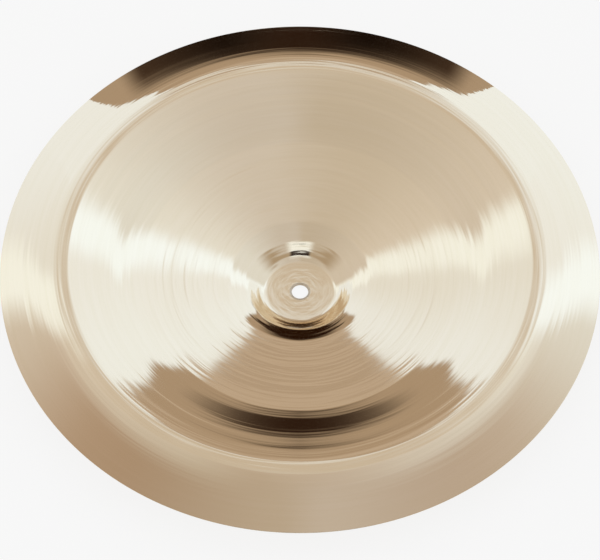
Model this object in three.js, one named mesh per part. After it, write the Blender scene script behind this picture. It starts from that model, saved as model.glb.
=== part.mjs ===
// A china cymbal of eighteen inches, lying bell down with its hollow side up.
// It is one disc of cast and rolled bronze: a cupped bell, a bow that rises in an S to a broad
// crest, and a flange that turns back down to a rounded rim. The sheet tapers from bell to rim.
// Millimetres, +Z up. The origin is the centre of the bell's flat outer face, on the bore's axis.
import * as THREE from "three";

// Diameters of the disc and of the circles where one zone gives way to the next.
const DIAMETER = 457.2;
const BORE_DIAMETER = 12.7;
const SEAT_DIAMETER = 30;
const FLOOR_DIAMETER = 54;
const BELL_DIAMETER = 108;
const FLANGE_WIDTH = 48.1;

// How far the middle of the sheet climbs across each zone, and how far the flange drops.
const FLOOR_RISE = 0.3;
const BELL_WALL_RISE = 15.7;
const INNER_DECK_RISE = 1.8;
const OUTER_DECK_RISE = 4.8;
const BOW_FOOT_RISE = 2.9;
const BOW_RISE = 12.1;
const SHOULDER_RISE = 5.4;
const FLANGE_DROP = 16.2;

// The sheet's thickness at the seat round the bore, at the bell's lip and at the rim.
const SEAT_THICKNESS = 1.35;
const LIP_THICKNESS = 1.1;
const RIM_THICKNESS = 0.75;

// Two low turned rings on the hollow side: one soon after the bell's lip, one where the deck
// ends and the bow starts to climb. Each is a rounded ridge of this width and height.
const LIP_TO_FIRST_RING = 13.8;
const FIRST_TO_SECOND_RING = 36.8;
const RING_WIDTH = 3.2;
const RING_HEIGHT = 0.1;

// The bow starts gently from the second ring, and its shoulder rounds over into the crest.
const BOW_FOOT_WIDTH = 17.5;
const SHOULDER_WIDTH = 26;

// The break of the bore's edges, at 45 degrees.
const BORE_BREAK = 0.2;

// Points of the section that lie nearer than this are one point.
const LEAST_SPACING = 0.05;

// Counts of flats: around the disc, across each zone, and round the rim.
const FLATS_AROUND = 72;
const FLOOR_STEPS = 2;
const WALL_STEPS = 8;
const INNER_DECK_STEPS = 2;
const OUTER_DECK_STEPS = 3;
const BOW_FOOT_STEPS = 2;
const BOW_STEPS = 6;
const SHOULDER_STEPS = 4;
const FLANGE_STEPS = 7;
const RIM_STEPS = 4;

// Steepness across each zone, as pairs of a share of its width and a share of its steepest slope.
const LEVEL_SHARES = [[0, 0], [1, 0]];
const FLOOR_STEEPNESS_SHARES = [[0, 0], [1, 1]];
const WALL_STEEPNESS_SHARES = [
  [0, 0.12], [0.05, 0.8], [0.18, 1], [0.42, 0.93], [0.51, 0.85], [0.6, 0.6], [0.93, 0.54], [1, 0.2],
];
const INNER_DECK_STEEPNESS_SHARES = [[0, 1], [0.2, 0.88], [1, 0.72]];
const OUTER_DECK_STEEPNESS_SHARES = [[0, 0.93], [0.05, 1], [1, 0.96]];
const BOW_FOOT_STEEPNESS_SHARES = [[0, 0.7], [0.2, 0.92], [1, 1]];
const BOW_STEEPNESS_SHARES = [
  [0, 0.66], [0.12, 0.67], [0.28, 0.81], [0.52, 1], [0.77, 0.76], [1, 0.62],
];
const SHOULDER_STEEPNESS_SHARES = [
  [0, 0.95], [0.3, 1], [0.45, 0.72], [0.78, 0.62], [0.86, 0.22], [1, 0],
];
const FLANGE_STEEPNESS_SHARES = [
  [0, 0], [0.14, 0.1], [0.18, 0.4], [0.3, 0.53], [0.4, 0.7], [0.58, 0.86], [0.78, 0.97], [1, 1],
];

const SEAT_RADIUS = SEAT_DIAMETER / 2;
const RIM_RADIUS = DIAMETER / 2;
const CREST_RADIUS = RIM_RADIUS - FLANGE_WIDTH;
const LIP_RADIUS = BELL_DIAMETER / 2;
const FIRST_RING_RADIUS = LIP_RADIUS + LIP_TO_FIRST_RING;
const SECOND_RING_RADIUS = FIRST_RING_RADIUS + FIRST_TO_SECOND_RING;
const BOW_RADIUS = SECOND_RING_RADIUS + BOW_FOOT_WIDTH;
const SHOULDER_RADIUS = CREST_RADIUS - SHOULDER_WIDTH;
const MIDDLE_OF_RIM = RIM_RADIUS - RIM_THICKNESS / 2;

// The zones of the sheet from the bore outwards. `climb` is signed, up being positive.
const ZONES = [
  { to: SEAT_RADIUS, climb: 0, steepness: LEVEL_SHARES, steps: 1 },
  { to: FLOOR_DIAMETER / 2, climb: FLOOR_RISE, steepness: FLOOR_STEEPNESS_SHARES, steps: FLOOR_STEPS },
  { to: LIP_RADIUS, climb: BELL_WALL_RISE, steepness: WALL_STEEPNESS_SHARES, steps: WALL_STEPS },
  {
    to: FIRST_RING_RADIUS, climb: INNER_DECK_RISE,
    steepness: INNER_DECK_STEEPNESS_SHARES, steps: INNER_DECK_STEPS,
  },
  {
    to: SECOND_RING_RADIUS, climb: OUTER_DECK_RISE,
    steepness: OUTER_DECK_STEEPNESS_SHARES, steps: OUTER_DECK_STEPS,
  },
  { to: BOW_RADIUS, climb: BOW_FOOT_RISE, steepness: BOW_FOOT_STEEPNESS_SHARES, steps: BOW_FOOT_STEPS },
  { to: SHOULDER_RADIUS, climb: BOW_RISE, steepness: BOW_STEEPNESS_SHARES, steps: BOW_STEPS },
  { to: CREST_RADIUS, climb: SHOULDER_RISE, steepness: SHOULDER_STEEPNESS_SHARES, steps: SHOULDER_STEPS },
  { to: MIDDLE_OF_RIM, climb: -FLANGE_DROP, steepness: FLANGE_STEEPNESS_SHARES, steps: FLANGE_STEPS },
];

// The value of a broken line through `pairs` at `share`.
function along(pairs, share) {
  for (let i = 1; i < pairs.length; i += 1) {
    const [x0, y0] = pairs[i - 1];
    const [x1, y1] = pairs[i];
    if (share <= x1) {
      return y0 + ((y1 - y0) * (share - x0)) / (x1 - x0);
    }
  }
  return pairs.at(-1)[1];
}

// The area under the same broken line from its start to `share`.
function areaTo(pairs, share) {
  let area = 0;
  for (let i = 1; i < pairs.length; i += 1) {
    const [x0, y0] = pairs[i - 1];
    const end = Math.min(share, pairs[i][0]);
    if (end > x0) {
      area += ((y0 + along(pairs, end)) * (end - x0)) / 2;
    }
  }
  return area;
}

// Each zone with where it starts, its width and its steepest slope, which its climb sets.
function laidOut(zones) {
  let from = BORE_DIAMETER / 2;
  let height = SEAT_THICKNESS / 2;
  return zones.map((zone) => {
    const width = zone.to - from;
    const whole = areaTo(zone.steepness, 1);
    const steepest = whole > 0 ? zone.climb / (width * whole) : 0;
    const placed = { ...zone, from, height, width, steepest };
    from = zone.to;
    height += zone.climb;
    return placed;
  });
}

const PLACED_ZONES = laidOut(ZONES);

// The middle of the sheet at a radius: its height and its slope.
function middleAt(radius) {
  const zone = PLACED_ZONES.find((one) => radius <= one.to) ?? PLACED_ZONES.at(-1);
  const share = Math.min((radius - zone.from) / zone.width, 1);
  const run = zone.width * areaTo(zone.steepness, share);
  return {
    height: zone.height + zone.steepest * run,
    slope: zone.steepest * along(zone.steepness, share),
  };
}

// The sheet's thickness at a radius: even over the seat, then tapering in two straight stretches.
function thicknessAt(radius) {
  const { mapLinear } = THREE.MathUtils;
  if (radius > LIP_RADIUS) {
    return mapLinear(radius, LIP_RADIUS, RIM_RADIUS, LIP_THICKNESS, RIM_THICKNESS);
  }
  const tapered = Math.max(radius, SEAT_RADIUS);
  return mapLinear(tapered, SEAT_RADIUS, LIP_RADIUS, SEAT_THICKNESS, LIP_THICKNESS);
}

// How far the turned rings stand proud of the hollow side at a radius.
function ringAt(radius) {
  const nearest = [FIRST_RING_RADIUS, SECOND_RING_RADIUS]
    .map((ring) => Math.abs(radius - ring))
    .reduce((a, b) => Math.min(a, b));
  return RING_HEIGHT * Math.max(0, 1 - nearest / (RING_WIDTH / 2));
}

// A point of the sheet's face at a radius of its middle. `side` is 1 for the hollow side, which
// faces up and carries the rings, and -1 for the outer side.
function facePoint(radius, side) {
  const { height, slope } = middleAt(radius);
  const normal = new THREE.Vector2(-slope, 1).normalize();
  const ring = side > 0 ? ringAt(radius) : 0;
  const out = side * thicknessAt(radius) / 2 + ring;
  return new THREE.Vector2(radius, height).addScaledVector(normal, out);
}

// The radii at which the sheet's section has a point, from the bore outwards.
function stations(side) {
  const radii = PLACED_ZONES.flatMap(({ from, width, steps }) =>
    Array.from({ length: steps }, (_, i) => from + (width * (i + 1)) / steps));
  if (side > 0) {
    const feet = [-RING_WIDTH / 2, 0, RING_WIDTH / 2];
    radii.push(...feet.map((foot) => FIRST_RING_RADIUS + foot));
    radii.push(...feet.map((foot) => SECOND_RING_RADIUS + foot));
  }
  const sorted = radii.sort((a, b) => a - b);
  return sorted.filter((radius, i) => i === 0 || radius - sorted[i - 1] > LEAST_SPACING);
}

// The rounded rim: a half circle from the hollow side's last point to the outer side's.
function rimPoints() {
  const { height, slope } = middleAt(MIDDLE_OF_RIM);
  const centre = new THREE.Vector2(MIDDLE_OF_RIM, height);
  const start = Math.atan2(1, -slope);
  return Array.from({ length: RIM_STEPS - 1 }, (_, i) => {
    const angle = start - (Math.PI * (i + 1)) / RIM_STEPS;
    return new THREE.Vector2(Math.cos(angle), Math.sin(angle))
      .multiplyScalar(thicknessAt(MIDDLE_OF_RIM) / 2)
      .add(centre);
  });
}

// The bore's wall with its two broken edges, from the outer side up to the hollow side.
function borePoints() {
  const wall = BORE_DIAMETER / 2;
  return [
    new THREE.Vector2(wall + BORE_BREAK, 0),
    new THREE.Vector2(wall, BORE_BREAK),
    new THREE.Vector2(wall, SEAT_THICKNESS - BORE_BREAK),
    new THREE.Vector2(wall + BORE_BREAK, SEAT_THICKNESS),
  ];
}

// The closed section of the sheet, from the bore's wall out over the hollow side, round the rim
// and back along the outer side.
function section() {
  const hollowSide = stations(1).map((radius) => facePoint(radius, 1));
  const outerSide = stations(-1).map((radius) => facePoint(radius, -1)).reverse();
  const points = [...borePoints(), ...hollowSide, ...rimPoints(), ...outerSide];
  return [...points, points[0]];
}

// The cast bronze, with the warm tone of a lathed and polished B20 alloy.
const bronze = new THREE.MeshStandardMaterial({
  name: "lathed bronze",
  color: new THREE.Color(0.78, 0.66, 0.48),
  roughness: 0.22,
  metalness: 1,
});

// The disc is a full turn of its section. The turn is made about Y and laid over to stand on Z.
function cymbalMesh() {
  const turned = new THREE.LatheGeometry(section().reverse(), FLATS_AROUND);
  turned.rotateX(Math.PI / 2);
  const mesh = new THREE.Mesh(turned, bronze);
  mesh.name = "cymbal";
  return mesh;
}

const chinaCymbal = new THREE.Group();
chinaCymbal.name = "china_cymbal";
chinaCymbal.add(cymbalMesh());

export default chinaCymbal;
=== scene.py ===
"""A china cymbal of eighteen inches in a pale studio, lying bell down with its hollow side up."""

import logging
import math
from dataclasses import dataclass, field
from enum import Enum

import bpy
import numpy as np
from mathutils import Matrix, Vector


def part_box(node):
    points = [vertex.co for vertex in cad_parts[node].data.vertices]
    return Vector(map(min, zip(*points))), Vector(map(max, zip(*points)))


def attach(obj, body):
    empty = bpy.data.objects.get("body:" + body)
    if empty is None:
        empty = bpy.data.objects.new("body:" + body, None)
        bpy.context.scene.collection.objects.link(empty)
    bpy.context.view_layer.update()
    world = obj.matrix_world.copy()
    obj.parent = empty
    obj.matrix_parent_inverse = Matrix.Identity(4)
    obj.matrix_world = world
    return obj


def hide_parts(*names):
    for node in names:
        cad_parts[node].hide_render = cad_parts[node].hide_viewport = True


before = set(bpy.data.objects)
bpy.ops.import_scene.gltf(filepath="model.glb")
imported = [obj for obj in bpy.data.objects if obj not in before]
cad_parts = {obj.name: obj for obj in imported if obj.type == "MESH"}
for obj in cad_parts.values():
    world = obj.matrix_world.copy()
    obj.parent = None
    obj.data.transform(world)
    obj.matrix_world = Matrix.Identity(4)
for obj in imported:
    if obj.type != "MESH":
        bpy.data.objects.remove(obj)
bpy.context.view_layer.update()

LOG = logging.getLogger("china_cymbal")
MM = 0.001

Colour = tuple[float, float, float]
Socket = bpy.types.NodeSocket
Value = float | Socket
Tint = Colour | Socket
Span = tuple[float, float]
Pairs = tuple[Span, ...]
Steps = tuple[tuple[float, float, float, float], ...]


class Face(Enum):
    """The kinds of surface that the disc shows, each with its place among the material slots."""

    HOLLOW_SIDE = 0
    OUTER_SIDE = 1
    TURNED_EDGE = 2
    BORE = 3
    BELL_FLOOR = 4


class Graph:
    """A writer of shader nodes into one node tree."""

    COLOUR_MIX_INPUTS = (0, 6, 7)
    COLOUR_MIX_OUTPUT = 2

    def __init__(self, tree: bpy.types.NodeTree) -> None:
        """Starts from an empty tree.

        Args:
            tree: The node tree of a material, a world or a group.
        """
        self.tree = tree
        tree.nodes.clear()

    def node(self, kind: str, **settings: object) -> bpy.types.Node:
        """Adds a node.

        Args:
            kind: The node's type name.
            **settings: Properties of the node to set.

        Returns:
            The new node.
        """
        made = self.tree.nodes.new(kind)
        for name, value in settings.items():
            setattr(made, name, value)
        return made

    def feed(self, socket: Socket, value: object) -> None:
        """Links a socket to another one, or sets its plain value.

        Args:
            socket: The input to feed.
            value: A socket to link from, a number, or a colour or vector.
        """
        if isinstance(value, bpy.types.NodeSocket):
            self.tree.links.new(value, socket)
        elif socket.type == "RGBA" and not isinstance(value, (int, float)):
            socket.default_value = (*value, 1.0)
        else:
            socket.default_value = value

    def math(self, operation: str, *values: Value) -> Socket:
        """Adds a Math node.

        Args:
            operation: The node's operation.
            *values: Its inputs, in order.

        Returns:
            The result's socket.
        """
        made = self.node("ShaderNodeMath", operation=operation)
        for socket, value in zip(made.inputs, values):
            self.feed(socket, value)
        return made.outputs[0]

    def vector(self, operation: str, *values: object) -> bpy.types.Node:
        """Adds a Vector Math node.

        Args:
            operation: The node's operation.
            *values: Its vector inputs, in order.

        Returns:
            The node, whose outputs are Vector and Value.
        """
        made = self.node("ShaderNodeVectorMath", operation=operation)
        for socket, value in zip(made.inputs, values):
            self.feed(socket, value)
        return made

    def dot(self, a: object, b: object) -> Socket:
        """The dot product of two vectors."""
        return self.vector("DOT_PRODUCT", a, b).outputs["Value"]

    def degrees(self, angle: Socket) -> Socket:
        """An angle in degrees."""
        return self.math("DEGREES", angle)

    def step(self, value: Value, low: float, high: float, start: float = 0.0, end: float = 1.0) -> Socket:
        """Adds a smooth step between two values.

        Args:
            value: What is looked at.
            low: Where the step starts.
            high: Where the step ends.
            start: The result up to low.
            end: The result from high on.

        Returns:
            The result's socket.
        """
        made = self.node("ShaderNodeMapRange", interpolation_type="SMOOTHSTEP")
        for name, put in (("Value", value), ("From Min", low), ("From Max", high),
                          ("To Min", start), ("To Max", end)):
            self.feed(made.inputs[name], put)
        return made.outputs[0]

    def fall(self, value: Value, low: float, high: float) -> Socket:
        """A smooth step down from one to zero between two values."""
        return self.step(value, low, high, 1.0, 0.0)

    def mix(self, share: Value, a: Tint, b: Tint) -> Socket:
        """Mixes two colours.

        Args:
            share: The share of the second colour.
            a: The first colour.
            b: The second colour.

        Returns:
            The mixed colour's socket.
        """
        made = self.node("ShaderNodeMix", data_type="RGBA")
        factor, first, second = (made.inputs[i] for i in self.COLOUR_MIX_INPUTS)
        self.feed(factor, share)
        self.feed(first, a)
        self.feed(second, b)
        return made.outputs[self.COLOUR_MIX_OUTPUT]

    def scaled(self, vector: Socket, factor: Value) -> Socket:
        """Scales a vector or a colour.

        Args:
            vector: What is scaled.
            factor: By how much.

        Returns:
            The scaled vector's socket.
        """
        made = self.vector("SCALE", vector)
        self.feed(made.inputs["Scale"], factor)
        return made.outputs["Vector"]

    def noise(self, place: Socket, scale: float, detail: float = 0.0) -> Socket:
        """Adds a three-dimensional noise.

        Args:
            place: Where the noise is read.
            scale: Features per unit of place.
            detail: Octaves of finer noise.

        Returns:
            The noise's value, from 0 to 1.
        """
        made = self.node("ShaderNodeTexNoise", noise_dimensions="3D")
        self.feed(made.inputs["Vector"], place)
        self.feed(made.inputs["Scale"], scale)
        self.feed(made.inputs["Detail"], detail)
        return made.outputs["Fac"]


@dataclass(frozen=True)
class ProductCamera:
    """The camera: from the front, well above the disc, ten diameters away."""

    elevation: float = 57.58
    distance: float = 4.572
    aim_height: float = 0.01768
    lens: float = 359.4
    sensor: float = 36.0
    clip_share: float = 10.0

    def towards(self) -> Vector:
        """The direction from the disc to the camera."""
        angle = math.radians(self.elevation)
        return Vector((0.0, -math.cos(angle), math.sin(angle)))

    def build(self) -> bpy.types.Object:
        """Makes the camera and gives it to the scene.

        Returns:
            The camera's object.
        """
        data = bpy.data.cameras.new("product_camera")
        data.lens = self.lens
        data.sensor_fit = "HORIZONTAL"
        data.sensor_width = self.sensor
        data.clip_end = self.distance * self.clip_share
        made = bpy.data.objects.new("product_camera", data)
        bpy.context.scene.collection.objects.link(made)
        made.location = Vector((0.0, 0.0, self.aim_height)) + self.towards() * self.distance
        made.rotation_euler = self.towards().to_track_quat("Z", "Y").to_euler()
        bpy.context.scene.camera = made
        return made


@dataclass(frozen=True)
class RoomSide:
    """The tones of one side of the studio, from the back of the room round to its front."""

    screen: Colour
    screen_end: Colour
    strip: Colour
    near_plain: Colour
    far_plain: Colour


@dataclass(frozen=True)
class StudioDome:
    """The soft studio round the disc, as directions about the mirror direction of level metal.

    Pale screens stand at the back, with a gap between them that shows the wall and the dim end of
    the room. A long strip of light lies to either side. The front half is plain, and dim low down,
    with a pale box straight in front and the dark under it.

    Turn is the angle about the mirror direction, from the back, and spread the angle from it.
    Height is that above the level, and bearing the angle from the back seen from above. All are
    in degrees, and a span is where a tone starts and where it is full, or the other way round.
    """

    mirror_elevation: float = 57.58
    left: RoomSide = RoomSide((1.045, 1.215, 1.46), (0.965, 1.07, 1.20), (1.13, 1.31, 1.51),
                              (0.806, 0.80, 0.804), (0.68, 0.66, 0.63))
    right: RoomSide = RoomSide((1.075, 1.27, 1.54), (1.045, 1.20, 1.42), (1.17, 1.43, 1.80),
                               (0.95, 1.06, 1.19), (0.746, 0.753, 0.783))
    side_blend: float = 0.08

    wall: Colour = (0.54, 0.459, 0.384)
    middle_wall: Colour = (0.627, 0.547, 0.475)
    middle_wall_spreads: Span = (12.8, 15.4)
    low_wall: Colour = (0.495, 0.407, 0.323)
    low_wall_spreads: Span = (18.5, 25.0)

    dark: Colour = (0.020, 0.006, 0.001)
    dark_fade: Span = (15.0, 38.0)
    least_height: float = 17.0
    arch: float = 0.055
    peak_power: float = 0.7
    peak_gain: float = 1.7
    peak_heights: Span = (18.0, 26.0)

    gap_turns: Span = (35.5, 39.5)
    gap_spreads: Span = (4.0, 6.0)
    gap_lean: float = 1.0
    gap_lean_blend: float = 0.1
    gap_steps: Steps = ((15.5, 17.5, 6.0, -4.0), (19.0, 24.0, 0.0, 5.0), (30.0, 40.0, 0.0, -1.5))

    level: Colour = (0.667, 0.59, 0.49)
    level_spreads: Span = (-6.0, 11.0)
    corner: Colour = (0.50, 0.43, 0.34)
    corner_heights: Span = (40.0, 50.0)
    corner_bearings: Span = (85.0, 120.0)
    front_box: Colour = (1.15, 1.32, 1.52)
    box_bottom: Span = (45.6, 46.8)
    box_top: Span = (49.5, 58.0)
    box_bearings: Span = (146.0, 164.0)
    dark_bearings: Span = (152.0, 161.0)

    strip_turn: float = 105.0
    strip_turn_slope: float = -0.45
    strip_lean: float = 9.0
    strip_lean_spreads: Span = (28.0, 46.0)
    strip_start: Span = (-13.0, -3.0)
    strip_end: Span = (4.0, 16.0)
    strip_spreads: Span = (2.0, 9.0)
    screen_turns: Span = (40.0, 85.0)
    plain_past: Span = (-4.0, 12.0)
    plain_turns: Span = (105.0, 165.0)
    plain_spreads: Span = (6.0, 45.0)
    plain_levels: Span = (1.04, 0.965)

    fill_level: float = 1.0
    backdrop: Colour = (0.939, 0.939, 0.939)

    def build(self) -> None:
        """Gives the scene its world: the room to shiny things, plain fill light and a pale backdrop."""
        world = bpy.data.worlds.new("pale_studio")
        world.use_nodes = True
        bpy.context.scene.world = world
        g = Graph(world.node_tree)
        rays = g.node("ShaderNodeLightPath").outputs
        shiny = g.math("MAXIMUM", rays["Is Glossy Ray"], rays["Is Transmission Ray"])
        fill = (self.fill_level,) * 3
        seen = g.mix(rays["Is Camera Ray"], fill, self.backdrop)
        colour = g.mix(shiny, seen, self.room(g))
        light = g.node("ShaderNodeBackground")
        g.feed(light.inputs["Color"], colour)
        out = g.node("ShaderNodeOutputWorld")
        g.feed(out.inputs["Surface"], light.outputs[0])

    def room(self, g: Graph) -> Socket:
        """Writes the room's tone for a direction.

        Args:
            g: The world's graph.

        Returns:
            The colour that comes from that direction.
        """
        tilt = math.radians(self.mirror_elevation)
        way = g.node("ShaderNodeTexCoord").outputs["Generated"]
        way = g.vector("NORMALIZE", way).outputs["Vector"]
        side = g.dot(way, (1.0, 0.0, 0.0))
        reach = g.math("ABSOLUTE", side)
        back = g.dot(way, (0.0, 1.0, 0.0))
        high = g.dot(way, (0.0, 0.0, 1.0))
        rise = g.dot(way, (0.0, -math.sin(tilt), math.cos(tilt)))
        off = g.dot(way, (0.0, math.cos(tilt), math.sin(tilt)))
        turn = g.degrees(g.math("ARCTAN2", reach, g.math("MULTIPLY", rise, -1.0)))
        spread = g.degrees(g.math("ARCCOSINE", off))
        height = g.degrees(g.math("ARCSINE", high))
        bearing = g.degrees(g.math("ARCTAN2", reach, back))

        right_share = g.step(side, -self.side_blend, self.side_blend)
        left, right = (self.half(g, tones, turn, spread) for tones in (self.left, self.right))
        tone = g.mix(right_share, left, right)
        tone = g.mix(self.gap(g, side, turn, spread), tone, self.gap_tone(g, spread, height, bearing))
        tone = g.mix(g.step(spread, *self.level_spreads), self.level, tone)

        corner = g.step(bearing, *self.corner_bearings)
        corner = g.math("MULTIPLY", g.fall(height, *self.corner_heights), corner)
        tone = g.mix(corner, tone, self.corner)
        box = g.math("MULTIPLY", g.step(height, *self.box_bottom), g.fall(height, *self.box_top))
        tone = g.mix(g.math("MULTIPLY", box, g.step(bearing, *self.box_bearings)), tone, self.front_box)
        under = g.math("MULTIPLY", g.fall(height, *self.box_bottom), g.step(bearing, *self.dark_bearings))
        return g.mix(under, tone, self.dark)

    def gap(self, g: Graph, side: Socket, turn: Socket, spread: Socket) -> Socket:
        """Writes where the gap between the screens is.

        Args:
            g: The world's graph.
            side: How far the direction points to the right, from -1 to 1.
            turn: The angle about the mirror direction, from the back.
            spread: The angle from the mirror direction.

        Returns:
            One inside the gap and zero outside.
        """
        blend = self.gap_lean_blend
        edge = g.math("ADD", turn, g.step(side, -blend, blend, 0.0, self.gap_lean))
        for step in self.gap_steps:
            edge = g.math("ADD", edge, g.step(spread, *step))
        return g.math("MULTIPLY", g.fall(edge, *self.gap_turns), g.step(spread, *self.gap_spreads))

    def gap_tone(self, g: Graph, spread: Socket, height: Socket, bearing: Socket) -> Socket:
        """Writes what the gap shows: a wall in three tones, and the dim end of the room under an arch.

        Args:
            g: The world's graph.
            spread: The angle from the mirror direction.
            height: The angle above the level.
            bearing: The angle from the back, seen from above.

        Returns:
            The gap's tone.
        """
        arched = g.math("MULTIPLY", g.math("MULTIPLY", bearing, bearing), self.arch)
        peaked = g.math("MULTIPLY", g.math("POWER", bearing, self.peak_power), self.peak_gain)
        peaked = g.math("MULTIPLY", g.math("SUBTRACT", peaked, arched), g.step(height, *self.peak_heights))
        above = g.math("MAXIMUM", height, self.least_height)
        above = g.math("ADD", g.math("ADD", arched, peaked), above)
        tone = g.mix(g.step(spread, *self.middle_wall_spreads), self.wall, self.middle_wall)
        tone = g.mix(g.step(spread, *self.low_wall_spreads), tone, self.low_wall)
        return g.mix(g.fall(above, *self.dark_fade), tone, self.dark)

    def half(self, g: Graph, tones: RoomSide, turn: Socket, spread: Socket) -> Socket:
        """Writes one side of the room: screen, strip of light and plain front.

        Args:
            g: The world's graph.
            tones: That side's tones.
            turn: The angle about the mirror direction, from the back.
            spread: The angle from the mirror direction.

        Returns:
            The side's tone.
        """
        lean = g.math("MULTIPLY", g.step(spread, *self.strip_lean_spreads), self.strip_lean)
        middle = g.math("MULTIPLY_ADD", spread, self.strip_turn_slope, self.strip_turn)
        past = g.math("ADD", g.math("SUBTRACT", turn, middle), lean)
        plain = g.mix(g.step(turn, *self.plain_turns), tones.near_plain, tones.far_plain)
        plain = g.scaled(plain, g.step(spread, *self.plain_spreads, *self.plain_levels))
        screen = g.mix(g.step(turn, *self.screen_turns), tones.screen, tones.screen_end)
        tone = g.mix(g.step(past, *self.plain_past), screen, plain)
        strip = g.math("MULTIPLY", g.step(past, *self.strip_start), g.fall(past, *self.strip_end))
        strip = g.math("MULTIPLY", strip, g.step(spread, *self.strip_spreads))
        return g.mix(strip, tone, tones.strip)


def thin_piece(name: str, points: list[tuple], faces: list[tuple],
               finish: bpy.types.Material) -> bpy.types.Object:
    """Makes a thin piece of the stage from its points and faces.

    Args:
        name: The name of the piece and its mesh.
        points: The places of its points, in metres.
        faces: The point numbers of each face.
        finish: Its material.

    Returns:
        The piece, linked to the scene.
    """
    mesh = bpy.data.meshes.new(name)
    mesh.from_pydata(points, [], faces)
    mesh.materials.append(finish)
    made = bpy.data.objects.new(name, mesh)
    bpy.context.scene.collection.objects.link(made)
    return made


def shiny_only(piece: bpy.types.Object) -> None:
    """Leaves a piece of the stage to shiny rays: no camera, matt surface or shadow finds it."""
    piece.visible_camera = piece.visible_diffuse = piece.visible_shadow = False


def band_faces(count: int) -> list[tuple[int, int, int, int]]:
    """The faces of a band whose points come in pairs, count faces long."""
    return [(2 * i, 2 * i + 2, 2 * i + 3, 2 * i + 1) for i in range(count)]


@dataclass(frozen=True)
class PaleFloor:
    """The plain pale floor that the bell stands on."""

    half_width: float = 6.0
    back_edge: float = 0.7
    colour: Colour = (0.90, 0.90, 0.90)
    seen_tone: Colour = (0.939, 0.939, 0.939)
    glow_share: float = 0.90

    def build(self) -> bpy.types.Object:
        """Makes the floor and links it to the scene.

        Returns:
            The floor's object.
        """
        side, back = self.half_width, self.back_edge
        corners = [(-side, -side, 0.0), (side, -side, 0.0), (side, back, 0.0), (-side, back, 0.0)]
        made = thin_piece("studio_floor", corners, [(0, 1, 2, 3)], self.material())
        return made

    def material(self) -> bpy.types.Material:
        """Makes the floor's finish: matt, and bright to the eye and to shiny things.

        Returns:
            The material.
        """
        made = bpy.data.materials.new("matt_white_floor")
        made.use_nodes = True
        g = Graph(made.node_tree)
        rays = g.node("ShaderNodeLightPath").outputs
        seen = g.math("MAXIMUM", rays["Is Camera Ray"], rays["Is Glossy Ray"])
        seen = g.math("MAXIMUM", seen, rays["Is Transmission Ray"])
        matt = g.node("ShaderNodeBsdfDiffuse")
        g.feed(matt.inputs["Color"], self.colour)
        glow = g.node("ShaderNodeEmission")
        g.feed(glow.inputs["Color"], self.seen_tone)
        both = g.node("ShaderNodeMixShader")
        g.feed(both.inputs[0], g.math("MULTIPLY", seen, self.glow_share))
        g.feed(both.inputs[1], matt.outputs[0])
        g.feed(both.inputs[2], glow.outputs[0])
        out = g.node("ShaderNodeOutputMaterial")
        g.feed(out.inputs["Surface"], both.outputs[0])
        return made


@dataclass(frozen=True)
class WarmScrim:
    """A sheet of warm scrim over the near half of the flange, which only shiny things see.

    It warms and dims what the turned-back flange reflects from the front of the room.
    """

    inner: float = 0.170
    outer: float = 0.320
    height: float = 0.09
    half_turn: float = 100.0
    sides: int = 48
    clear: Colour = (1.0, 1.0, 1.0)
    warm: Colour = (0.70, 0.57, 0.47)
    inner_share: float = 0.34
    inner_turns: Span = (8.0, 32.0)
    outer_shares: Span = (0.30, 0.80)
    outer_turns: Span = (5.0, 45.0)
    end_turns: Span = (50.0, 92.0)
    outer_radii: Span = (0.188, 0.228)
    left_gain: float = 1.2
    left_blend: float = 0.06

    def build(self) -> bpy.types.Object:
        """Makes the scrim, links it to the scene and hides it from all but shiny rays.

        Returns:
            The scrim's object.
        """
        turns = np.radians(np.linspace(-self.half_turn, self.half_turn, self.sides + 1) - 90.0)
        points = [(r * math.cos(turn), r * math.sin(turn), self.height)
                  for turn in turns for r in (self.inner, self.outer)]
        made = thin_piece("warm_scrim", points, band_faces(self.sides), self.material())
        shiny_only(made)
        return made

    def material(self) -> bpy.types.Material:
        """Makes the scrim's cloth: thin straight near, denser outwards to both sides, clear at its ends.

        Returns:
            The material.
        """
        made = bpy.data.materials.new("warm_scrim_cloth")
        made.use_nodes = True
        g = Graph(made.node_tree)
        place = g.node("ShaderNodeTexCoord").outputs["Object"]
        side = g.dot(place, (1.0, 0.0, 0.0))
        near = g.math("MULTIPLY", g.dot(place, (0.0, 1.0, 0.0)), -1.0)
        turn = g.degrees(g.math("ARCTAN2", g.math("ABSOLUTE", side), near))
        flat = g.vector("MULTIPLY", place, (1.0, 1.0, 0.0)).outputs["Vector"]
        radius = g.vector("LENGTH", flat).outputs["Value"]
        inner = g.step(turn, *self.inner_turns, self.inner_share, 0.0)
        outer = g.step(turn, *self.outer_turns, *self.outer_shares)
        outer = g.math("MULTIPLY", outer, g.fall(turn, *self.end_turns))
        where = g.step(radius, *self.outer_radii)
        share = g.math("MULTIPLY_ADD", where, g.math("SUBTRACT", outer, inner), inner)
        share = g.math("MULTIPLY", share, g.step(side, -self.left_blend, 0.0, self.left_gain, 1.0))
        cloth = g.node("ShaderNodeBsdfTransparent")
        g.feed(cloth.inputs["Color"], g.mix(share, self.clear, self.warm))
        out = g.node("ShaderNodeOutputMaterial")
        g.feed(out.inputs["Surface"], cloth.outputs[0])
        return made


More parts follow.
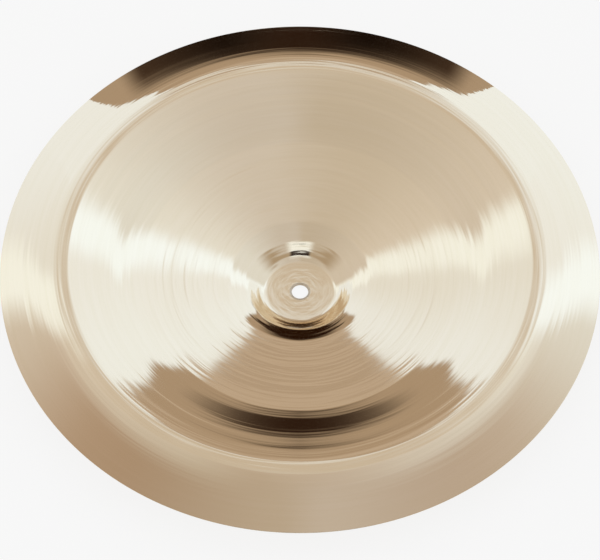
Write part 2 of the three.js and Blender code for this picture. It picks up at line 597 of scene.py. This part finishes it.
@dataclass(frozen=True)
class SideCards:
    """Two low pale cards behind the far flange, one to either side, which only shiny things see.

    Each card's inner end is cut to a slant, given as pairs of a height in metres and an angle from
    straight far in degrees.
    """

    radius: float = 0.242
    slant: Pairs = ((0.001, 41.5), (0.03, 40.0), (0.055, 36.0), (0.078, 27.0), (0.105, 21.0))
    left_shift: float = 4.5
    end: float = 58.0
    sides: int = 12
    left_tone: Colour = (1.045, 1.215, 1.46)
    right_tone: Colour = (1.075, 1.27, 1.54)

    def build(self) -> None:
        """Makes the cards, links them to the scene and hides them from all but shiny rays."""
        for name, side, shift, tone in (("left_card", -1, self.left_shift, self.left_tone),
                                        ("right_card", 1, 0.0, self.right_tone)):
            points = []
            for height, start in self.slant:
                turns = np.radians(90.0 - side * np.linspace(start + shift, self.end, self.sides + 1))
                points += [(self.radius * math.cos(t), self.radius * math.sin(t), height) for t in turns]
            row = self.sides + 1
            quads = [(k * row + i, k * row + i + 1, (k + 1) * row + i + 1, (k + 1) * row + i)
                     for k in range(len(self.slant) - 1) for i in range(self.sides)]
            made = thin_piece(name, points, quads, self.material(name, tone))
            shiny_only(made)

    @staticmethod
    def material(name: str, tone: Colour) -> bpy.types.Material:
        """Makes a card's finish.

        Args:
            name: The card's name.
            tone: How bright the card is.

        Returns:
            The material.
        """
        made = bpy.data.materials.new(name + "_paper")
        made.use_nodes = True
        g = Graph(made.node_tree)
        glow = g.node("ShaderNodeEmission")
        g.feed(glow.inputs["Color"], tone)
        out = g.node("ShaderNodeOutputMaterial")
        g.feed(out.inputs["Surface"], glow.outputs[0])
        return made


@dataclass(frozen=True)
class DimScrim:
    """A low sheet of dark scrim behind the far flange, which only shiny things see.

    It darkens what the far flange reflects from the foot of the back wall.
    """

    radius: float = 0.241
    foot: float = 0.001
    thin_from: float = 0.036
    top: float = 0.072
    half_turn: float = 42.0
    left_reach: float = 2.0
    left_blend: float = 0.01
    sides: int = 28
    clear: Colour = (1.0, 1.0, 1.0)
    dark: Colour = (0.06, 0.02, 0.0)
    densest: float = 0.90
    end_turns: Span = (30.0, 36.0)
    middle_turns: Span = (0.0, 14.0)
    middle_share: float = 0.1

    def build(self) -> bpy.types.Object:
        """Makes the scrim, links it to the scene and hides it from all but shiny rays.

        Returns:
            The scrim's object.
        """
        turns = np.radians(np.linspace(-self.half_turn, self.half_turn, self.sides + 1) + 90.0)
        points = [(self.radius * math.cos(turn), self.radius * math.sin(turn), z)
                  for turn in turns for z in (self.foot, self.top)]
        made = thin_piece("dim_scrim", points, band_faces(self.sides), self.material())
        shiny_only(made)
        return made

    def material(self) -> bpy.types.Material:
        """Makes the scrim's cloth: dense low down, thin in its middle, and clear at its top and ends.

        Returns:
            The material.
        """
        made = bpy.data.materials.new("dim_scrim_cloth")
        made.use_nodes = True
        g = Graph(made.node_tree)
        place = g.node("ShaderNodeTexCoord").outputs["Object"]
        side = g.dot(place, (1.0, 0.0, 0.0))
        turn = g.math("ARCTAN2", g.math("ABSOLUTE", side), g.dot(place, (0.0, 1.0, 0.0)))
        reach = g.step(side, -self.left_blend, self.left_blend, -self.left_reach, 0.0)
        turn = g.math("ADD", g.degrees(turn), reach)
        share = g.step(g.dot(place, (0.0, 0.0, 1.0)), self.thin_from, self.top, self.densest, 0.0)
        share = g.math("MULTIPLY", share, g.fall(turn, *self.end_turns))
        share = g.math("MULTIPLY", share, g.step(turn, *self.middle_turns, self.middle_share, 1.0))
        cloth = g.node("ShaderNodeBsdfTransparent")
        g.feed(cloth.inputs["Color"], g.mix(share, self.clear, self.dark))
        out = g.node("ShaderNodeOutputMaterial")
        g.feed(out.inputs["Surface"], cloth.outputs[0])
        return made


@dataclass(frozen=True)
class PaintedDarkReflection:
    """A painted dark reflection: a small black patch behind the bell's far lip, which the near wall of the
    bell reflects and which stands for nothing in the room.

    Only shiny rays that come from the near side over about a tenth of a metre meet it.
    """

    radius: float = 0.0538
    foot: float = 0.0175
    top: float = 0.0415
    half_turn: float = 9.0
    sides: int = 6
    nearest: float = 0.094
    farthest: float = 0.114
    black: Colour = (0.020, 0.006, 0.001)

    def build(self) -> bpy.types.Object:
        """Makes the patch, links it to the scene and hides it from all but shiny rays.

        Returns:
            The patch's object.
        """
        points = []
        for share in np.linspace(-1.0, 1.0, self.sides + 1):
            turn = math.radians(90.0 - share * self.half_turn)
            x, y = self.radius * math.cos(turn), self.radius * math.sin(turn)
            points += [(x, y, self.foot), (x, y, self.top)]
        made = thin_piece("painted_dark_reflection_patch", points, band_faces(self.sides), self.material())
        shiny_only(made)
        return made

    def material(self) -> bpy.types.Material:
        """Makes the patch's finish, the painted dark reflection: black to rays from its near side and its
        own range, clear to others.

        Returns:
            The material.
        """
        made = bpy.data.materials.new("painted_dark_reflection_finish")
        made.use_nodes = True
        g = Graph(made.node_tree)
        glow = g.node("ShaderNodeEmission")
        g.feed(glow.inputs["Color"], self.black)
        clear = g.node("ShaderNodeBsdfTransparent")
        length = g.node("ShaderNodeLightPath").outputs["Ray Length"]
        front = g.math("SUBTRACT", 1.0, g.node("ShaderNodeNewGeometry").outputs["Backfacing"])
        # painted dark reflection: the patch is black only to shiny rays from its near side within this
        # length
        share = g.math("MULTIPLY", front, g.math("GREATER_THAN", length, self.nearest))
        share = g.math("MULTIPLY", share, g.math("LESS_THAN", length, self.farthest))
        blend = g.node("ShaderNodeMixShader")
        g.feed(blend.inputs[0], share)
        g.feed(blend.inputs[1], clear.outputs[0])
        g.feed(blend.inputs[2], glow.outputs[0])
        out = g.node("ShaderNodeOutputMaterial")
        g.feed(out.inputs["Surface"], blend.outputs[0])
        return made


class LatheMarks:
    """The marks that turning leaves, as one node group: grooves about the bore's axis."""

    NAME = "lathe_marks"
    INPUTS = (("Band Pitch", 0.0030), ("Band Slope", 0.02), ("Groove Pitch", 0.0012),
              ("Groove Slope", 0.02), ("Dent Slope", 0.004))
    BAND_WANDER = 1.4
    GROOVE_WANDER = 3.0
    DENTS_PER_METRE = 28.0

    def group(self) -> bpy.types.NodeTree:
        """Finds the group, or makes it when it is first asked for.

        Returns:
            The node group, with the outputs Height and Tone.
        """
        found = bpy.data.node_groups.get(self.NAME)
        return found or self.make()

    def make(self) -> bpy.types.NodeTree:
        """Writes the group's nodes.

        Returns:
            The node group.
        """
        tree = bpy.data.node_groups.new(self.NAME, "ShaderNodeTree")
        for name, value in self.INPUTS:
            made = tree.interface.new_socket(name, in_out="INPUT", socket_type="NodeSocketFloat")
            made.default_value = value
        for name in ("Height", "Tone"):
            tree.interface.new_socket(name, in_out="OUTPUT", socket_type="NodeSocketFloat")
        g = Graph(tree)
        given = g.node("NodeGroupInput").outputs
        place = g.node("ShaderNodeTexCoord").outputs["Object"]
        flat = g.vector("MULTIPLY", place, (1.0, 1.0, 0.0)).outputs["Vector"]
        radius = g.vector("LENGTH", flat).outputs["Value"]
        around = g.vector("NORMALIZE", flat).outputs["Vector"]

        bands = self.rings(g, around, radius, given["Band Pitch"], self.BAND_WANDER)
        grooves = self.rings(g, around, radius, given["Groove Pitch"], self.GROOVE_WANDER)
        dents = g.noise(place, self.DENTS_PER_METRE)
        dents = g.math("MULTIPLY", dents, given["Dent Slope"])
        dent_height = g.math("MULTIPLY", dents, 1.0 / self.DENTS_PER_METRE)
        height = g.math("ADD", self.deep(g, bands, given["Band Pitch"], given["Band Slope"]),
                        self.deep(g, grooves, given["Groove Pitch"], given["Groove Slope"]))
        height = g.math("ADD", height, dent_height)
        tone = g.math("MULTIPLY", g.math("ADD", bands, grooves), 0.5)
        out = g.node("NodeGroupOutput")
        g.feed(out.inputs["Height"], height)
        g.feed(out.inputs["Tone"], tone)
        return tree

    @staticmethod
    def rings(g: Graph, around: Socket, radius: Socket, pitch: Socket, wander: float) -> Socket:
        """Noise that changes quickly with the radius and slowly round the axis.

        Args:
            g: The group's graph.
            around: The unit vector from the axis.
            radius: The distance from the axis.
            pitch: The radial size of a feature.
            wander: How many times the noise changes over a radian.

        Returns:
            The noise's value.
        """
        out = g.node("ShaderNodeCombineXYZ")
        g.feed(out.inputs["Z"], g.math("DIVIDE", radius, pitch))
        spot = g.vector("ADD", g.scaled(around, wander), out.outputs[0]).outputs["Vector"]
        return g.noise(spot, 1.0, 1.0)

    @staticmethod
    def deep(g: Graph, rings: Socket, pitch: Socket, slope: Socket) -> Socket:
        """The height of rings with a pitch and a slope."""
        return g.math("MULTIPLY", rings, g.math("MULTIPLY", pitch, slope))


@dataclass(frozen=True)
class LathedBronze:
    """Tin bronze as the lathe and the polishing wheel leave it; its colour is darker along the lathe marks
    as painted shade.
    """

    name: str
    colour: Colour = (0.80, 0.66, 0.48)
    # painted shade along the lathe bands and grooves
    band_shade_colour: Colour = (0.79, 0.65, 0.465)
    roughness: float = 0.08
    anisotropy: float = 0.6
    band_pitch: float = 3.6
    band_slope: float = 0.06
    groove_pitch: float = 1.2
    groove_slope: float = 0.02
    dent_slope: float = 0.004
    tone_span: Span = (0.35, 0.65)
    rough_span: Span = (0.3, 0.7)
    rough_gains: Span = (1.15, 0.85)
    grain_turn: float = 0.25

    def material(self) -> bpy.types.Material:
        """Makes the finish.

        Returns:
            The material.
        """
        made = bpy.data.materials.new(self.name)
        made.use_nodes = True
        g = Graph(made.node_tree)
        marks = g.node("ShaderNodeGroup", node_tree=LatheMarks().group())
        for name, value in (("Band Pitch", self.band_pitch * MM), ("Band Slope", self.band_slope),
                            ("Groove Pitch", self.groove_pitch * MM), ("Groove Slope", self.groove_slope),
                            ("Dent Slope", self.dent_slope)):
            g.feed(marks.inputs[name], value)
        bump = g.node("ShaderNodeBump")
        g.feed(bump.inputs["Strength"], 1.0)
        g.feed(bump.inputs["Distance"], 1.0)
        g.feed(bump.inputs["Height"], marks.outputs["Height"])
        along = g.node("ShaderNodeTangent", direction_type="RADIAL", axis="Z")
        metal = g.node("ShaderNodeBsdfPrincipled")
        tone = g.step(marks.outputs["Tone"], *self.tone_span)
        # painted shade: the colour darkens where the lathe marks' tone runs low, standing in for the
        # bands' shading
        g.feed(metal.inputs["Base Color"], g.mix(tone, self.band_shade_colour, self.colour))
        g.feed(metal.inputs["Metallic"], 1.0)
        start, end = (self.roughness * gain for gain in self.rough_gains)
        rough = g.step(marks.outputs["Tone"], *self.rough_span, start, end)
        g.feed(metal.inputs["Roughness"], rough)
        g.feed(metal.inputs["Anisotropic"], self.anisotropy)
        g.feed(metal.inputs["Anisotropic Rotation"], self.grain_turn)
        g.feed(metal.inputs["Tangent"], along.outputs[0])
        g.feed(metal.inputs["Normal"], bump.outputs[0])
        out = g.node("ShaderNodeOutputMaterial")
        g.feed(out.inputs["Surface"], metal.outputs[0])
        return made


@dataclass(frozen=True)
class Zone:
    """A ring-shaped zone of the sheet, in millimetres.

    The slopes are pairs of a share of the zone's width and the rise per run there. The spacing is
    that of the section's points.
    """

    inner: float
    outer: float
    slopes: Pairs
    spacing: float

    def slope(self, radii: np.ndarray) -> np.ndarray:
        """The slope of the sheet's middle at some radii.

        Args:
            radii: Radii inside the zone.

        Returns:
            Rise per run at each radius.
        """
        shares, slopes = np.array(self.slopes).T
        return np.interp((radii - self.inner) / (self.outer - self.inner), shares, slopes)


@dataclass(frozen=True)
class SheetSection:
    """The section of the disc's sheet from the bore to the rim, in millimetres."""

    rim_radius: float
    bore_radius: float = 6.35
    seat_radius: float = 15.0
    floor_radius: float = 27.1
    lip_radius: float = 54.15
    first_ring: float = 67.8
    second_ring: float = 104.6
    foot_width: float = 17.5
    shoulder_width: float = 26.0
    flange_width: float = 48.1
    seat_thickness: float = 1.35
    lip_thickness: float = 1.1
    rim_thickness: float = 0.75
    ring_width: float = 3.2
    ring_height: float = 0.015
    bore_break: float = 0.2
    break_share: float = 0.3
    rim_steps: int = 12
    ring_steps: int = 9
    table_step: float = 0.02
    least_spacing: float = 0.25

    def zones(self) -> tuple[Zone, ...]:
        """Lays out the zones from the bore outwards.

        Returns:
            The zones, each starting where the last one ends.
        """
        foot = self.second_ring + self.foot_width
        crest = self.rim_radius - self.flange_width
        shoulder = crest - self.shoulder_width
        last = self.rim_radius - self.rim_thickness / 2
        level = ((0, 0), (1, 0))
        floor = ((0, 0), (0.8, 0.03), (1, 0.06))
        wall = ((0, 0.1), (0.045, 0.62), (0.13, 0.68), (0.175, 0.81), (0.215, 0.81), (0.25, 0.75),
                (0.40, 0.76), (0.47, 0.70), (0.54, 0.47), (0.58, 0.435), (0.93, 0.425), (0.975, 0.37),
                (1, 0.16))
        inner_deck = ((0, 0.16), (0.2, 0.14), (1, 0.115))
        outer_deck = ((0, 0.125), (0.05, 0.145), (0.25, 0.14), (0.36, 0.13), (1, 0.12))
        bow_foot = ((0, 0.12), (0.2, 0.155), (0.78, 0.16), (0.91, 0.17), (1, 0.32))
        bow = ((0, 0.32), (0.105, 0.31), (0.151, 0.325), (0.204, 0.35), (0.275, 0.375), (0.512, 0.465),
               (0.614, 0.426), (0.769, 0.355), (0.846, 0.335), (0.938, 0.34), (1, 0.27))
        rounding = ((0, 0.27), (0.042, 0.24), (0.081, 0.25), (0.162, 0.305), (0.281, 0.32), (0.338, 0.31),
                    (0.404, 0.246), (0.519, 0.21), (0.627, 0.24), (0.712, 0.215), (0.80, 0.18),
                    (0.86, 0.05), (1, 0))
        turned_back = ((0, 0), (0.10, -0.025), (0.135, -0.045), (0.165, -0.17), (0.185, -0.20),
                       (0.24, -0.215), (0.28, -0.25), (0.31, -0.275), (0.384, -0.335), (0.463, -0.37),
                       (0.545, -0.39), (0.63, -0.415), (0.71, -0.45), (0.83, -0.485), (1, -0.50))
        return (
            Zone(self.bore_radius, self.seat_radius, level, spacing=1.6),
            Zone(self.seat_radius, self.floor_radius, floor, spacing=1.2),
            Zone(self.floor_radius, self.lip_radius, wall, spacing=0.45),
            Zone(self.lip_radius, self.first_ring, inner_deck, spacing=0.8),
            Zone(self.first_ring, self.second_ring, outer_deck, spacing=0.8),
            Zone(self.second_ring, foot, bow_foot, spacing=0.7),
            Zone(foot, shoulder, bow, spacing=0.7),
            Zone(shoulder, crest, rounding, spacing=0.6),
            Zone(crest, last, turned_back, spacing=0.8),
        )

    def middle(self, radii: np.ndarray) -> tuple[np.ndarray, np.ndarray]:
        """The middle line of the sheet.

        Args:
            radii: Where it is wanted.

        Returns:
            Heights and slopes at those radii.
        """
        grid, slopes = [], []
        for zone in self.zones():
            run = np.arange(zone.inner, zone.outer, self.table_step)
            grid.append(run)
            slopes.append(zone.slope(run))
        at, slope = np.concatenate(grid), np.concatenate(slopes)
        rises = (slope[1:] + slope[:-1]) / 2 * np.diff(at)
        height = self.seat_thickness / 2 + np.concatenate([[0.0], np.cumsum(rises)])
        return np.interp(radii, at, height), np.interp(radii, at, slope)

    def thickness(self, radii: np.ndarray) -> np.ndarray:
        """The sheet's thickness: even over the seat, then tapering in two straight stretches."""
        return np.interp(radii, (self.seat_radius, self.lip_radius, self.rim_radius),
                         (self.seat_thickness, self.lip_thickness, self.rim_thickness))

    def ring(self, radii: np.ndarray) -> np.ndarray:
        """How far the two turned rings stand proud of the hollow side.

        Args:
            radii: Where it is wanted.

        Returns:
            A rounded ridge over each ring, and zero elsewhere.
        """
        nearest = np.minimum(np.abs(radii - self.first_ring), np.abs(radii - self.second_ring))
        share = np.clip(nearest / (self.ring_width / 2), 0.0, 1.0)
        return self.ring_height * np.cos(share * math.pi / 2) ** 2

    def stations(self) -> np.ndarray:
        """The radii at which the faces have a point, close together where the section bends.

        Returns:
            Rising radii, without the bore's own, at which its wall already has its points.
        """
        runs = [np.arange(zone.inner, zone.outer, zone.spacing) for zone in self.zones()]
        across = np.linspace(-0.5, 0.5, self.ring_steps) * self.ring_width
        rings = [ring + across for ring in (self.first_ring, self.second_ring)]
        all_radii = np.unique(np.concatenate([*runs, *rings, [self.zones()[-1].outer]]))
        keep = np.concatenate([[True], np.diff(all_radii) > self.least_spacing])
        keep[0] = False
        return all_radii[keep]

    def face(self, side: int) -> np.ndarray:
        """One face of the sheet.

        Args:
            side: 1 for the hollow side, which carries the rings, and -1 for the outer side.

        Returns:
            Rows of radius and height, from the bore outwards.
        """
        radii = self.stations()
        height, slope = self.middle(radii)
        out = side * self.thickness(radii) / 2 + (self.ring(radii) if side > 0 else 0.0)
        run = np.hypot(slope, 1.0)
        return np.column_stack([radii - out * slope / run, height + out / run])

    def rim(self) -> np.ndarray:
        """The rounded rim, from the hollow side over to the outer side.

        Returns:
            Rows of radius and height.
        """
        last = self.rim_radius - self.rim_thickness / 2
        height, slope = self.middle(np.array([last]))
        start = math.atan2(1.0, -slope[0])
        turn = start - math.pi * np.arange(1, self.rim_steps) / self.rim_steps
        reach = self.thickness(np.array([last]))[0] / 2
        return np.column_stack([last + reach * np.cos(turn), height[0] + reach * np.sin(turn)])

    def bore(self) -> np.ndarray:
        """The bore's wall with its broken edges, from the outer side up.

        Returns:
            Rows of radius and height.
        """
        wall, cut, top = self.bore_radius, self.bore_break, self.seat_thickness
        part = cut * self.break_share
        return np.array([(wall + cut, 0.0), (wall + part, part), (wall, cut), (wall, top - cut),
                         (wall + part, top - part), (wall + cut, top)])


@dataclass
class ChinaCymbal:
    """The disc: one sheet of bronze, turned about its bore."""

    section: SheetSection
    node: str = "cymbal"
    sides_around: int = 240
    hollow_finish: LathedBronze = field(default_factory=lambda: LathedBronze("lathed_bronze_hollow_side"))
    outer_finish: LathedBronze = field(default_factory=lambda: LathedBronze("lathed_bronze_outer_side"))
    edge_finish: LathedBronze = field(default_factory=lambda: LathedBronze(
        "turned_bronze_edge", roughness=0.42, band_slope=0.0, groove_slope=0.01))
    floor_finish: LathedBronze = field(default_factory=lambda: LathedBronze(
        "lathed_bronze_bell_floor", band_slope=0.03, groove_slope=0.012, dent_slope=0.0015))
    # painted shade: the bore's bronze is coloured darker for the shade inside the bore; its roughness is
    # that of a drilled surface
    shaded_bore_finish: LathedBronze = field(default_factory=lambda: LathedBronze(
        "drilled_bronze_bore_painted_shade", colour=(0.60, 0.50, 0.38), band_shade_colour=(0.52, 0.42, 0.30), roughness=0.45,
        band_slope=0.0, groove_slope=0.05))

    def outline(self) -> tuple[np.ndarray, np.ndarray]:
        """Joins the parts of the closed section.

        Returns:
            Rows of radius and height in millimetres, and the kind of face after each row.
        """
        parts = (
            (self.section.bore(), Face.BORE),
            (self.section.face(1), Face.HOLLOW_SIDE),
            (self.section.rim(), Face.TURNED_EDGE),
            (self.section.face(-1)[::-1], Face.OUTER_SIDE),
        )
        rows = np.concatenate([rows for rows, _ in parts])
        kinds = np.concatenate([np.full(len(rows), kind.value) for rows, kind in parts])
        floor = (kinds == Face.HOLLOW_SIDE.value) & (rows[:, 0] < self.section.floor_radius)
        kinds[floor] = Face.BELL_FLOOR.value
        return rows, kinds

    def mesh(self) -> bpy.types.Mesh:
        """Turns the section about the bore's axis.

        Returns:
            A closed mesh in metres.
        """
        rows, kinds = self.outline()
        turns = np.linspace(0.0, 2 * math.pi, self.sides_around, endpoint=False)
        radius, height = rows.T * MM
        x = np.outer(np.cos(turns), radius)
        y = np.outer(np.sin(turns), radius)
        z = np.broadcast_to(height, x.shape)
        points = np.stack([x, y, z], axis=-1).reshape(-1, 3)
        count, sides = len(rows), self.sides_around
        a = np.arange(sides)[:, None] * count + np.arange(count)[None, :]
        b = np.roll(a, -1, axis=0)
        quads = np.stack([a, b, np.roll(b, -1, axis=1), np.roll(a, -1, axis=1)], axis=-1).reshape(-1, 4)
        made = bpy.data.meshes.new(self.node + "_turned")
        made.from_pydata(points.tolist(), [], quads.tolist())
        made.polygons.foreach_set("use_smooth", np.ones(len(quads), bool))
        made.polygons.foreach_set("material_index", np.tile(kinds, sides).astype(np.int32))
        made.update()
        return made

    def build(self) -> bpy.types.Object:
        """Makes the disc, dresses it and puts it in place of the CAD node.

        Returns:
            The disc's object.
        """
        mesh = self.mesh()
        finishes = {Face.HOLLOW_SIDE: self.hollow_finish, Face.OUTER_SIDE: self.outer_finish,
                    Face.TURNED_EDGE: self.edge_finish, Face.BORE: self.shaded_bore_finish,
                    Face.BELL_FLOOR: self.floor_finish}
        for face in Face:
            mesh.materials.append(finishes[face].material())
        made = bpy.data.objects.new("cymbal_disc", mesh)
        bpy.context.scene.collection.objects.link(made)
        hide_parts(self.node)
        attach(made, "root")
        return made


def main() -> None:
    """Builds the studio and the disc."""
    logging.basicConfig(level=logging.INFO, format="%(name)s: %(message)s")
    scene = bpy.context.scene
    scene.view_settings.view_transform = "Standard"
    low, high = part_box("cymbal")
    # the last stage piece paints a dark reflection into the near wall of the bell
    stage = (StudioDome(), PaleFloor(), WarmScrim(), SideCards(), DimScrim(), PaintedDarkReflection())
    for maker in (ProductCamera(), *stage):
        maker.build()
        LOG.info("%s is in place", type(maker).__name__)
    disc = ChinaCymbal(SheetSection(rim_radius=(high.x - low.x) / 2 / MM)).build()
    LOG.info("%s: %d faces, %.4f m across, %.4f m high", disc.name, len(disc.data.polygons),
             disc.dimensions.x, disc.dimensions.z)


if __name__ == "__main__":
    main()
